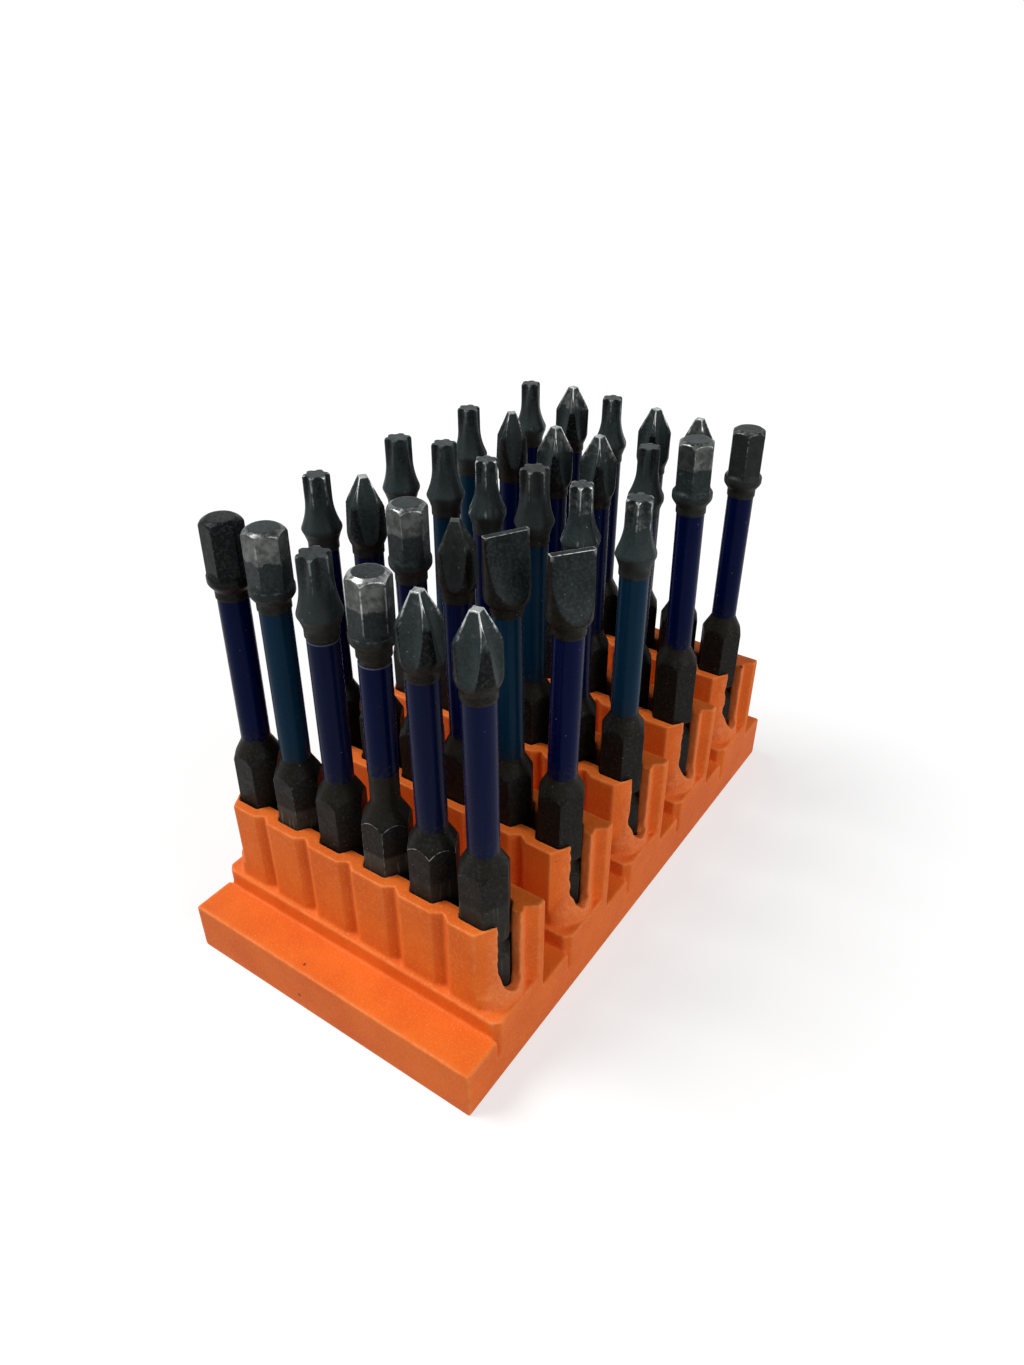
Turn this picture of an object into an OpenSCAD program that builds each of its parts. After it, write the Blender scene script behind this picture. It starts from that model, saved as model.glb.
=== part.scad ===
// Bench organizer for long driver bits: one printed block with stepped rows of hexagonal
// sockets, and the hex-shank bits that stand in it.
// The rows run along X, the front edge faces -Y and the block stands on Z = 0, centred on the origin.

/* [Layout] */
// Rows of sockets, from front to back
rows = 5; // [1:1:7]
// Sockets in a row
cols = 6; // [2:1:8]

/* [Block] */
// Height of the low strips in front of and behind the rows
base_h = 8.5; // [6:0.5:16]
// Rise of each row's deck above the low strips
deck_rise = 3; // [1:0.5:8]
// Rise of the socket walls above the deck
wall_rise = 14.3; // [12:0.1:18]
// Depth of each low strip
step_depth = 6.7; // [2:0.1:14]
// Distance from the deck's front edge to the socket wall
wall_setback = 0.7; // [0.3:0.1:3]
// Thickness of the wall in front of the sockets
front_wall = 1.5; // [1.3:0.1:3]
// Thickness of the wall behind the sockets
back_wall = 2.5; // [1.5:0.1:5]
// Distance from the last socket's corner to the end of the block
end_wall = 1.85; // [1.6:0.05:4]
// Width of the corner cut at the ends of each deck's front edge
notch_w = 1.1; // [0.6:0.1:1.4]
// Depth of that cut below the low strip
notch_drop = 3.5; // [1:0.5:5]

/* [Sockets] */
// Play between a shank and its socket, across the flats
socket_play = 0.3; // [0.3:0.05:0.6]
// Distance between the corners of neighbouring sockets
socket_gap = 0.6; // [0.4:0.05:4]
// Height of the socket floors above the low strips
floor_rise = 1; // [0:0.25:2]
// Width of the slot that joins the sockets of a row
slot_w = 3.5; // [2.5:0.25:4.5]
// Height of the slot's bottom above the deck
slot_sill = 2; // [1:0.25:4]
// Width of the grooves between the front panels
groove_w = 2.9; // [1.5:0.1:3.5]
// Depth of the grooves between the front panels
groove_depth = 1; // [0.4:0.1:1.1]
// Thickness of the skin beside the end sockets
end_skin = 0.4; // [0.4:0.05:0.8]
// Wall of the round shoulder under the end sockets
shoulder_wall = 1.35; // [1:0.05:1.5]
// Height of the shoulder's upright part above the deck
shoulder_h = 2.4; // [1:0.1:4]
// Height of the cone above that upright part
shoulder_cone = 3.2; // [1:0.1:5]
// Width of the back wall's end lip
lip_w = 1.45; // [0.8:0.05:2]

/* [Bits] */
// Shank size across the flats
shank_af = 6.35; // [5.5:0.05:7]
// Standard length of a bit
bit_length = 61; // [55:0.5:75]
// Length of the hexagonal shank, to its upper corners
shank_length = 23.7; // [20:0.1:27]
// Length of the cone from the shank to the slim middle
shank_cone = 3; // [2:0.1:6]
// Diameter of the slim middle
middle_d = 4.2; // [3.6:0.1:4.6]
// Distance from the shank's end to the middle of the detent groove
detent_level = 11.4; // [8:0.1:14]
// Diameter left in the detent groove
detent_d = 4.8; // [4.2:0.1:5.4]
// Radius of the detent groove's section
detent_r = 1.6; // [1.3:0.1:2]
// Length of the working head, with its neck
head_length = 11; // [10.5:0.5:14]
// Diameter of the neck under the head
neck_d = 4.5; // [4.2:0.1:4.8]
// Diameter of the collar under a hex head
collar_d = 6; // [5.6:0.1:6.6]
// Diameter of the skirt under a star head
skirt_d = 5.9; // [5.4:0.1:6.4]
// Diameter of a cross head's body
cross_d = 5.7; // [5:0.1:6.2]
// Diameter of a cross head's flat point
cross_point = 1.8; // [1.4:0.1:2.4]
// Length of a cross head's pointed end
cross_taper = 4; // [3:0.1:5]
// Thickness of a blade's edge
blade_edge = 0.9; // [0.6:0.1:1.4]

/* [Hidden] */
$fn = 64;
eps = 0.5;

// What stands where: kind, size across the tip, turn, extra length, and lean of the tip to the right
// and to the back
BITS = [
    [
        ["hex", 5, -8, 0, 0.6, 0.7],
        ["hex", 5, -8, 0.7, 0.3, 0.6],
        ["star", 4.5, 2, -0.4, 0.4, 0.4],
        ["hex", 5, -8, -0.4, 0.6, 0.5],
        ["cross", 5.7, -32, -0.2, 0, -0.1],
        ["cross", 5.7, -35, 0, -0.2, -0.2],
    ],
    [
        ["star", 3.9, -8, 0, 0.1, 0.1],
        ["cross", 5.7, 9, 1.4, 0.2, 0.6],
        ["hex", 5, -8, -0.2, 0, -0.1],
        ["cross", 5.7, -16, -0.6, -0.2, -0.3],
        ["blade", 6.2, 60, -0.3, -0.6, -0.4],
        ["blade", 6, 55, -0.5, 0.4, 0.1],
    ],
    [
        ["star", 4.2, -8, 0.1, -0.2, -0.1],
        ["star", 3.9, -8, 0.8, 0.1, 0.3],
        ["star", 3.5, 1, 0.1, -0.2, -0.1],
        ["star", 4.3, -18, 0.5, -0.2, 0],
        ["star", 3.6, -6, 0, -0.6, -0.4],
        ["star", 4, -8, 0, -0.2, -0.1],
    ],
    [
        ["star", 3.8, -8, 0, -0.2, -0.2],
        ["cross", 5.2, 1, 0.7, 0, 0.1],
        ["cross", 5.7, -56, -0.1, 0.1, 0],
        ["cross", 5.7, -58, 0, -0.2, -0.1],
        ["star", 3.6, -8, 0, 0, 0],
        ["hex", 5, -8, 0, -0.9, 0.1],
    ],
    [
        ["star", 3.5, -6, -0.2, 0, 0],
        ["cross", 5.7, -59, 0.4, 0.4, 0.3],
        ["star", 3.6, -8, 0, 0.1, 0],
        ["cross", 5.5, -70, -0.4, 0.2, 0],
        ["cross", 5.5, -42, -0.6, -0.2, -0.2],
        ["hex", 5, -8, -0.6, 0.1, -0.1],
    ],
];
// The one bit that isn't pushed home: its row, its place in the row, and how far up it stands
RAISED = [4, 6, 2.5];

function spec(r, c) = BITS[(r - 1) % len(BITS)][(c - 1) % len(BITS[0])];
function kind(r, c) = spec(r, c)[0];
function bit_name(r, c) = str(kind(r, c), "_bit_row", r, "_", c);

shank_r = shank_af / sqrt(3);
socket_af = shank_af + socket_play;
socket_r = socket_af / sqrt(3);
socket_pitch = 2 * socket_r + socket_gap;
deck_depth = wall_setback + front_wall + socket_af + back_wall;
row_pitch = deck_depth + step_depth;
block_w = (cols - 1) * socket_pitch + 2 * end_margin();
block_d = rows * row_pitch + step_depth;
deck_z = base_h + deck_rise;
wall_z = deck_z + wall_rise;
floor_z = base_h + floor_rise;
sill_z = deck_z + slot_sill;
shoulder_r = socket_r + shoulder_wall;

function end_margin() = socket_r + end_wall;
function socket_x(c) = (c - (cols + 1) / 2) * socket_pitch;
function deck_y(r) = -block_d / 2 + step_depth + (r - 1) * row_pitch;
function socket_y(r) = deck_y(r) + wall_setback + front_wall + socket_af / 2;

// Distances from a socket's centre to the faces of its row
front_face = socket_af / 2 + front_wall;
back_face = socket_af / 2 + back_wall;

// How far out the thin skin beside an end socket stands at a distance y from the socket's centre
function skin_x(y) = socket_r + y / sqrt(3) + end_skin * 2 / sqrt(3);

// Outline of a row's right end from its front to its back, measured from the end socket's centre
ridge_w = 0.6;
ridge_length = 1;
ridge_step = [0.5, 0.3];
ridge_x = socket_r + ridge_w;
ridge_end = slot_w / 2 + ridge_length;
end_outline = [
    [skin_x(-front_face), -front_face],
    [skin_x(-slot_w / 2), -slot_w / 2],
    [ridge_x, slot_w / 2],
    [ridge_x, ridge_end],
    [ridge_x - ridge_step[0], ridge_end + ridge_step[1]],
    [end_margin(), back_face - lip_w],
    [end_margin(), back_face],
];

function backwards(list) = [for (i = [len(list) - 1:-1:0]) list[i]];

// Outline of a row's walls seen from above, with a groove between each two front panels
function wall_outline() = concat(
    [for (c = [1:cols - 1]) each groove(socket_x(c) + socket_pitch / 2)],
    [for (p = end_outline) [socket_x(cols) + p[0], p[1]]],
    [for (p = backwards(end_outline)) [socket_x(1) - p[0], p[1]]]
);
function groove(x) = [
    [x - groove_w / 2, -front_face],
    [x, -front_face + groove_depth],
    [x + groove_w / 2, -front_face],
];

module holder() {
    color("darkorange")
        difference() {
            union() {
                base();
                for (r = [1:rows]) translate([0, socket_y(r), 0]) row_walls();
            }
            for (r = [1:rows]) translate([0, socket_y(r), 0]) row_openings();
            for (r = [1:rows], side = [-1, 1]) corner_cut(r, side);
        }
}

// The low slab and the decks that rise from it
module base() {
    translate([-block_w / 2, -block_d / 2, 0]) cube([block_w, block_d, base_h]);
    for (r = [1:rows])
        translate([-block_w / 2, deck_y(r), 0]) cube([block_w, deck_depth, deck_z]);
}

// The grooved wall block of one row, with the round shoulders under its end sockets
module row_walls() {
    translate([0, 0, deck_z - eps])
        linear_extrude(wall_rise + eps) polygon(wall_outline());
    intersection() {
        for (c = [1, cols]) translate([socket_x(c), 0, deck_z - eps]) shoulder();
        translate([-block_w / 2, -front_face, 0]) cube([block_w, front_face + back_face, wall_z]);
    }
}

module shoulder() {
    cylinder(r = shoulder_r, h = shoulder_h + eps);
    translate([0, 0, shoulder_h + eps])
        cylinder(r1 = shoulder_r, r2 = shoulder_r - shoulder_cone / 2, h = shoulder_cone);
}

// The hexagonal sockets of one row and the round-bottomed slot that joins them
module row_openings() {
    for (c = [1:cols])
        translate([socket_x(c), 0, floor_z]) cylinder(r = socket_r, h = wall_z, $fn = 6);
    translate([-block_w, 0, 0])
        rotate([90, 0, 90]) linear_extrude(2 * block_w) polygon(slot_outline());
}

// Section of the slot: a half circle with straight sides up past the rim
function slot_outline() = concat(
    [[slot_w / 2, wall_z + eps], [-slot_w / 2, wall_z + eps]],
    [for (a = [180:15:360]) [slot_w / 2 * cos(a), sill_z + slot_w / 2 * (1 + sin(a))]]
);

// The cut that takes the corner off the front end of a deck and runs into the strip below
module corner_cut(r, side) {
    translate([side * block_w / 2, deck_y(r), base_h - notch_drop])
        linear_extrude(wall_z)
            polygon([[-side * notch_w, 0], [side * eps, 0], [side * eps, notch_w + eps]]);
}

// One bit in its socket, leaning by the play that the socket leaves it
module placed_bit(r, c) {
    socket_depth = wall_z - floor_z;
    lean = [spec(r, c)[4], spec(r, c)[5]];
    reach = bit_length - socket_depth / 2;
    raised = r == RAISED[0] && c == RAISED[1] ? RAISED[2] : 0;
    seat = shank_r * norm(lean) / reach;
    color("dimgray")
        translate([socket_x(c), socket_y(r), floor_z + seat + raised])
            translate([0, 0, socket_depth / 2])
                rotate([-atan(lean[1] / reach), atan(lean[0] / reach), 0])
                    translate([0, 0, -socket_depth / 2])
                        driver_bit(kind(r, c), spec(r, c)[1], spec(r, c)[2], bit_length + spec(r, c)[3]);
}

// A whole bit that stands on the origin
module driver_bit(head, size, turn, length) {
    shank();
    top = length - head_length;
    translate([0, 0, shank_length]) cylinder(d = middle_d, h = top - shank_length + eps);
    translate([0, 0, top]) rotate([0, 0, turn]) {
        if (head == "hex") hex_head(size);
        if (head == "star") star_head(size);
        if (head == "cross") cross_head(size);
        if (head == "blade") blade_head(size);
    }
}

// The quarter-inch shank: chamfered at the end, coned at the top and grooved for the chuck's ball
module shank() {
    end_chamfer = 0.2;
    corner_clear = 0.1;
    end_r = shank_af / 2 - end_chamfer;
    outer_r = shank_r + corner_clear;
    difference() {
        intersection() {
            cylinder(r = shank_r, h = shank_length + shank_cone, $fn = 6);
            rotate_extrude()
                polygon([
                    [0, 0],
                    [end_r, 0],
                    [outer_r, outer_r - end_r],
                    [outer_r, shank_length],
                    [middle_d / 2, shank_length + shank_cone],
                    [0, shank_length + shank_cone],
                ]);
        }
        translate([0, 0, detent_level])
            rotate_extrude() translate([detent_d / 2 + detent_r, 0]) circle(r = detent_r);
    }
}

// The neck's turned profile, up to the level where each head widens
neck_h = 1.1;
function neck_points() = [[0, 0], [neck_d / 2, 0], [neck_d / 2, neck_h]];

// A hexagonal key on a round collar
module hex_head(size) {
    collar_flare = 0.9;
    collar_edge = [0.1, 0.3];
    collar_h = 3.2;
    collar_bevel = 0.4;
    key_r = size / sqrt(3);
    key_clear = 0.1;
    rim_inset = [0.25, 0.8];
    rim_drop = [0.9, 0.35];
    rotate_extrude()
        polygon(concat(neck_points(), [
            [collar_d / 2 - collar_edge[0], neck_h + collar_flare],
            [collar_d / 2, neck_h + collar_flare + collar_edge[1]],
            [collar_d / 2, collar_h],
            [collar_d / 2 - collar_bevel, collar_h + collar_bevel],
            [0, collar_h + collar_bevel],
        ]));
    intersection() {
        translate([0, 0, collar_h]) cylinder(r = key_r, h = head_length - collar_h, $fn = 6);
        rotate_extrude()
            polygon([
                [0, collar_h],
                [key_r + key_clear, collar_h],
                [key_r + key_clear, head_length - rim_drop[0]],
                [key_r - rim_inset[0], head_length - rim_drop[1]],
                [key_r - rim_inset[1], head_length],
                [0, head_length],
            ]);
    }
}

// A six-lobed key whose flutes curve outwards and run out in a flared skirt
module star_head(size) {
    key_r = size / 2;
    flute_r = 0.42 * key_r;
    flute_ring_r = 22;
    skirt_z = 3.3;
    waist_z = 7.4;
    skirt_edge = [[-0.25, 2.4], [0, 2.9]];
    tip_bevel = 0.2;
    flute_root = 0.71 * key_r;
    flare = [for (t = [1:-0.2:0]) [key_r + (skirt_d / 2 - key_r) * t * t, waist_z + (skirt_z - waist_z) * t]];
    difference() {
        rotate_extrude()
            polygon(concat(
                neck_points(),
                [for (p = skirt_edge) [skirt_d / 2 + p[0], p[1]]],
                flare,
                [[key_r, head_length - tip_bevel], [key_r - tip_bevel, head_length], [0, head_length]]
            ));
        for (a = [30:60:330])
            rotate([0, 0, a]) translate([flute_root + flute_r + flute_ring_r, 0, head_length])
                rotate([90, 0, 0]) rotate([0, 0, 175])
                    rotate_extrude(angle = 32) translate([flute_ring_r, 0]) circle(r = flute_r);
    }
}

// A pointed key with four leaf-shaped flutes between its wings
module cross_head(size) {
    flute_r = 1.9;
    flute_tilt = 13;
    flute_root = 0.55;
    body_edge = [[-0.15, 2.1], [0, 2.7]];
    taper_bend = [0.25, 0.6];
    point_bevel = 0.1;
    difference() {
        rotate_extrude()
            polygon(concat(neck_points(), [for (p = body_edge) [size / 2 + p[0], p[1]]], [
                [size / 2, head_length - cross_taper],
                [size / 2 - taper_bend[0], head_length - cross_taper + taper_bend[1]],
                [cross_point / 2, head_length - point_bevel],
                [cross_point / 2 - point_bevel, head_length],
                [0, head_length],
            ]));
        for (a = [45:90:315])
            rotate([0, 0, a]) translate([flute_root, 0, head_length])
                rotate([0, -flute_tilt, 0]) translate([flute_r, 0, -2 * head_length])
                    cylinder(r = flute_r, h = 3 * head_length);
    }
}

// A round head hollow ground on two sides to a straight edge
module blade_head(size) {
    grind_r = 16;
    body_edge = [[-0.15, 1.8], [0, 2.3]];
    difference() {
        rotate_extrude()
            polygon(concat(neck_points(), [for (p = body_edge) [size / 2 + p[0], p[1]]], [
                [size / 2, head_length],
                [0, head_length],
            ]));
        for (side = [-1, 1])
            translate([-size, side * (blade_edge / 2 + grind_r), head_length])
                rotate([0, 90, 0]) cylinder(r = grind_r, h = 2 * size, $fn = 128);
    }
}

holder();
for (r = [1:rows], c = [1:cols])
    placed_bit(r, c);
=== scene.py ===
"""Dresses the bit organizer: a printed block of stepped sockets and the driver bits that stand in it."""

import logging
import math
from dataclasses import dataclass, field
from enum import Enum

import bmesh
import bpy
import numpy as np
from mathutils import Euler, Matrix, Vector, noise


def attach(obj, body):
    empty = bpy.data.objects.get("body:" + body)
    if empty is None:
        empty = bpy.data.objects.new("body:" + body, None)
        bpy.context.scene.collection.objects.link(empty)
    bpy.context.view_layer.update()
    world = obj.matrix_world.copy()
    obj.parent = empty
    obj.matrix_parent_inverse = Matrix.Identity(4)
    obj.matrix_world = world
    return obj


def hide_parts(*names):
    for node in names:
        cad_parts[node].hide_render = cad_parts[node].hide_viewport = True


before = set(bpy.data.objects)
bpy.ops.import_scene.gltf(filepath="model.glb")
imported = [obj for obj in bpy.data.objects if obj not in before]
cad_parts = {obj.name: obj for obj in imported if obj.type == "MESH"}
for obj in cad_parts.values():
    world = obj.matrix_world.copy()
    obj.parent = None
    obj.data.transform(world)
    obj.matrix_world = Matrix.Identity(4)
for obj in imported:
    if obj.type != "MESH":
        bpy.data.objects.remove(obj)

MM = 0.001
LOG = logging.getLogger("bit_organizer")

Colour = tuple[float, float, float]
Array = np.ndarray
Reading = tuple[Array, Array, Array]
Socket = bpy.types.NodeSocket


def linear(red: int, green: int, blue: int) -> Colour:
    """Turn a screen colour into the linear one that shaders take.

    Args:
        red: Red from 0 to 255.
        green: Green from 0 to 255.
        blue: Blue from 0 to 255.

    Returns:
        The linear colour.
    """
    return tuple(
        c / 12.92 if c <= 0.04045 else ((c + 0.055) / 1.055) ** 2.4
        for c in (red / 255, green / 255, blue / 255)
    )


class Head(Enum):
    """The kinds of working end."""

    HEX = "hex"
    STAR = "star"
    CROSS = "cross"
    BLADE = "blade"


class Sleeve(Enum):
    """The colours of the sleeve on a bit's slim middle."""

    NAVY = "navy"
    TEAL = "teal"
    DUSK = "dusk"


@dataclass(frozen=True)
class Speckle:
    """A noise on Object coordinates, which goes from start to end where it goes from low to high.

    Attributes:
        scale: Waves per metre.
        detail: Octaves.
        rough: How much the fine octaves count.
        stretch: Waves along Z for each one across.
    """

    scale: float
    detail: float = 3.0
    rough: float = 0.55
    low: float = 0.3
    high: float = 0.7
    start: float = 0.0
    end: float = 1.0
    stretch: float = 1.0


@dataclass(frozen=True)
class Ripple:
    """One layer of bump, with its depth in metres."""

    noise: Speckle
    strength: float
    depth: float


@dataclass(frozen=True)
class Board:
    """A node tree, with short ways to add nodes and to join them."""

    tree: bpy.types.NodeTree

    def add(self, kind: str, **values: object) -> bpy.types.Node:
        """Add a node by its type, without the ShaderNode before it, and set its own settings."""
        node = self.tree.nodes.new(f"ShaderNode{kind}")
        for key, value in values.items():
            setattr(node, key, value)
        return node

    def give(self, socket: Socket, value: object) -> None:
        """Link an input, or set it to a number, a vector or a colour."""
        if isinstance(value, Socket):
            self.tree.links.new(value, socket)
        elif isinstance(value, tuple) and socket.type == "RGBA":
            socket.default_value = (*value, 1.0)
        else:
            socket.default_value = value

    def fill(self, node: bpy.types.Node, **values: object) -> None:
        """Give a node its inputs by name, with underscores for spaces."""
        for key, value in values.items():
            self.give(node.inputs[key.replace("_", " ")], value)

    def stored(self, name: str) -> Socket:
        """Give a value that is stored on the mesh's points."""
        return self.add("Attribute", attribute_name=name).outputs["Fac"]

    def grain(self, spot: Speckle) -> Socket:
        """Add a noise on Object coordinates, which is about 0.5 on average."""
        place = self.add("TexCoord").outputs["Object"]
        if spot.stretch != 1.0:
            mapping = self.add("Mapping")
            self.fill(mapping, Vector=place, Scale=(1.0, 1.0, spot.stretch))
            place = mapping.outputs[0]
        node = self.add("TexNoise")
        self.fill(node, Vector=place, Scale=spot.scale, Detail=spot.detail, Roughness=spot.rough)
        return node.outputs["Fac"]

    def ramp(self, value: Socket, *span: float, kind: str = "SMOOTHSTEP") -> Socket:
        """Map a value from one range to another, clamped.

        Args:
            value: The value to map.
            *span: The values that give start and end, then start and end if they aren't 0 and 1.
            kind: The kind of the node's interpolation.

        Returns:
            The mapped value.
        """
        low, high, start, end = (*span, 0.0, 1.0)[:4]
        node = self.add("MapRange", interpolation_type=kind)
        self.fill(node, Value=value, From_Min=low, From_Max=high, To_Min=start, To_Max=end)
        return node.outputs["Result"]

    def speckle(self, spot: Speckle) -> Socket:
        """Add a noise and show its range."""
        return self.ramp(self.grain(spot), spot.low, spot.high, spot.start, spot.end)

    def maths(self, operation: str, first: Socket, second: Socket | float, clamp: bool = True) -> Socket:
        """Join two values with a sum, product or the like.

        Args:
            operation: The node's operation, such as MULTIPLY.
            first: The first value.
            second: The second value, a socket or a number.
            clamp: Whether the result stays between 0 and 1.

        Returns:
            The result.
        """
        node = self.add("Math", operation=operation, use_clamp=clamp)
        self.give(node.inputs[0], first)
        self.give(node.inputs[1], second)
        return node.outputs[0]

    def blend(self, share: Socket, first: Colour | Socket, second: Colour | Socket) -> Socket:
        """Mix two colours.

        Args:
            share: How much of the second colour shows.
            first: The first colour, or a socket.
            second: The second colour, or a socket.

        Returns:
            The mixed colour.
        """
        node = self.add("Mix", data_type="RGBA")
        self.fill(node, Factor=share)
        self.give(node.inputs[6], first)
        self.give(node.inputs[7], second)
        return node.outputs[2]

    def relief(self, layers: tuple[Ripple, ...]) -> Socket:
        """Add layers of bump, one on the other, and give the bumped normal."""
        below = None
        for layer in layers:
            node = self.add("Bump")
            self.fill(node, Strength=layer.strength, Distance=layer.depth, Height=self.grain(layer.noise))
            if below is not None:
                self.fill(node, Normal=below)
            below = node.outputs["Normal"]
        return below

    def surface(self, **values: object) -> None:
        """Add the shader with its inputs, and the output."""
        shader = self.add("BsdfPrincipled")
        self.fill(shader, **values)
        self.fill(self.add("OutputMaterial"), Surface=shader.outputs[0])


def blank(name: str) -> bpy.types.Material:
    """Make a material with an empty tree."""
    material = bpy.data.materials.new(name)
    material.use_nodes = True
    material.node_tree.nodes.clear()
    return material


@dataclass(frozen=True)
class PrintedPlastic:
    """Matte orange plastic with the fine grain of a powder print, paler where it is rubbed or torn, with a
    painted highlight on outer edges and a painted sheen round the windows.
    """

    body: Colour = linear(237, 111, 27)
    deep: Colour = linear(225, 98, 19)
    # Pale orange of the grain, of rubbed edges and of the painted edge highlight.
    dusty: Colour = linear(242, 146, 80)
    # Pale pink of the torn print and of the painted sheen round the windows.
    pale: Colour = linear(252, 152, 98)
    speck: Colour = linear(90, 40, 20)
    cloud: Speckle = Speckle(110.0, 5.0, 0.6, 0.32, 0.68)
    salt: Speckle = Speckle(3300.0, 2.0, low=0.50, high=0.72, end=0.42)
    pepper: Speckle = Speckle(2500.0, 2.0, low=0.56, high=0.70, end=0.35)
    # Mask for the paler outer edges: rubbed edges plus a painted edge highlight.
    scuff_and_edge_highlight: Speckle = Speckle(800.0, 4.0, 0.6, start=0.1875, end=0.75)
    # Mask for the pale window surroundings: rough torn print plus a painted sheen.
    crumbs_and_sheen: Speckle = Speckle(2600.0, high=0.75, start=0.105, end=0.42)
    dust: Speckle = Speckle(520.0, 1.0, 0.3, 0.815, 0.83, end=0.8)
    sheen: Speckle = Speckle(2400.0, start=0.52, end=0.70)
    specular: float = 0.25
    relief: tuple[Ripple, ...] = (
        Ripple(Speckle(260.0), 0.20, 0.00020),
        Ripple(Speckle(1100.0), 0.45, 0.00010),
        Ripple(Speckle(3300.0, 2.0), 0.60, 0.00006),
    )

    def material(self) -> bpy.types.Material:
        """Build the material."""
        made = blank("printed_plastic")
        board = Board(made.node_tree)
        colour = board.blend(board.speckle(self.cloud), self.deep, self.body)
        colour = board.blend(board.speckle(self.salt), colour, self.dusty)
        colour = board.blend(board.speckle(self.pepper), colour, self.deep)
        # worn marks rubbed edges with a painted edge highlight; torn marks torn print with a painted sheen
        # round the windows.
        for name, spot, tint in (("worn", self.scuff_and_edge_highlight, self.dusty), ("torn", self.crumbs_and_sheen, self.pale)):
            share = board.maths("MULTIPLY", board.stored(name), board.speckle(spot))
            colour = board.blend(share, colour, tint)
        board.surface(
            Base_Color=board.blend(board.speckle(self.dust), colour, self.speck),
            Roughness=board.speckle(self.sheen),
            Normal=board.relief(self.relief),
            Specular_IOR_Level=self.specular,
        )
        return made


@dataclass(frozen=True)
class BlackenedSteel:
    """Steel with a black finish that is worn to bright metal on edges and tips, with painted shade in the
    heads' hollows and a painted highlight on hex chamfers.
    """

    name: str = "blackened_steel"
    black: Colour = linear(6, 8, 9)
    grey: Colour = linear(51, 60, 61)
    brown: Colour = linear(33, 28, 20)
    bare: Colour = linear(190, 194, 192)
    rubbed: Colour = linear(98, 101, 99)
    tarnish: Colour = linear(65, 67, 65)
    bruised: Colour = linear(66, 63, 57)
    scratch: Colour = linear(136, 129, 112)
    cloud: Speckle = Speckle(380.0, 4.0, low=0.32, end=0.25)
    salt: Speckle = Speckle(2300.0, 4.0, 0.7, 0.45, 0.66, end=0.65)
    heat: Speckle = Speckle(600.0, low=0.2, start=0.5)
    grime: Speckle = Speckle(1300.0, high=0.5, start=0.6)
    lines: Speckle = Speckle(2300.0, 2.0, 0.5, 0.55, 0.80, stretch=0.07)
    uneven: Speckle = Speckle(900.0, 4.0, 0.6, start=-0.18, end=0.18)
    stain: Speckle = Speckle(750.0, 5.0, 0.6, 0.35, 0.65)
    chips: Speckle = Speckle(1300.0, 4.0, 0.6, 0.28, 0.60, start=0.5)
    dots: Speckle = Speckle(2700.0, 2.0, 0.5, 0.71, 0.78, end=0.30)
    sheen: Speckle = Speckle(800.0, start=0.24, end=0.40)
    polished: tuple[float, float] = (0.42, 0.62)
    rubbing: tuple[float, float] = (0.28, 0.85)
    metal: tuple[float, float] = (0.04, 0.95)
    polish_metal: float = 0.7
    heat_dulls: float = 0.2
    specular: float = 0.07
    relief: tuple[Ripple, ...] = (
        Ripple(Speckle(700.0, 4.0, 0.6), 0.25, 0.00012),
        Ripple(Speckle(3600.0, 3.0, 0.6), 0.20, 0.00004),
    )

    def material(self) -> bpy.types.Material:
        """Build the material."""
        made = blank(self.name)
        board = Board(made.node_tree)
        # The stored pale value carries painted shade in the heads' hollows.
        tone = board.maths("ADD", board.speckle(self.cloud), board.stored("pale"))
        colour = board.blend(board.maths("ADD", tone, board.speckle(self.salt)), self.black, self.grey)
        tan = board.maths("MULTIPLY", board.stored("tan"), board.speckle(self.heat))
        colour = board.blend(tan, colour, self.brown)
        heel = board.maths("MULTIPLY", board.stored("heel"), board.speckle(self.grime))
        colour = board.blend(heel, colour, board.blend(board.speckle(self.lines), self.bruised, self.scratch))
        reach = board.maths("ADD", board.stored("polish"), board.speckle(self.uneven), clamp=False)
        polish = board.ramp(reach, *self.polished)
        rubbed = board.blend(board.speckle(self.stain), self.rubbed, self.tarnish)
        colour = board.blend(polish, colour, rubbed)
        edge = board.maths("MULTIPLY", board.stored("edge"), board.speckle(self.chips))
        bright = board.maths("ADD", board.ramp(edge, *self.rubbing), board.speckle(self.dots))
        shine = board.maths("ADD", board.maths("MULTIPLY", polish, self.polish_metal), bright)
        dull = board.maths("MULTIPLY", tan, self.heat_dulls)
        board.surface(
            Base_Color=board.blend(bright, colour, self.bare),
            Metallic=board.ramp(shine, 0.0, 1.0, *self.metal),
            Roughness=board.maths("ADD", board.speckle(self.sheen), dull),
            Normal=board.relief(self.relief),
            Specular_IOR_Level=self.specular,
        )
        return made


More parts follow.
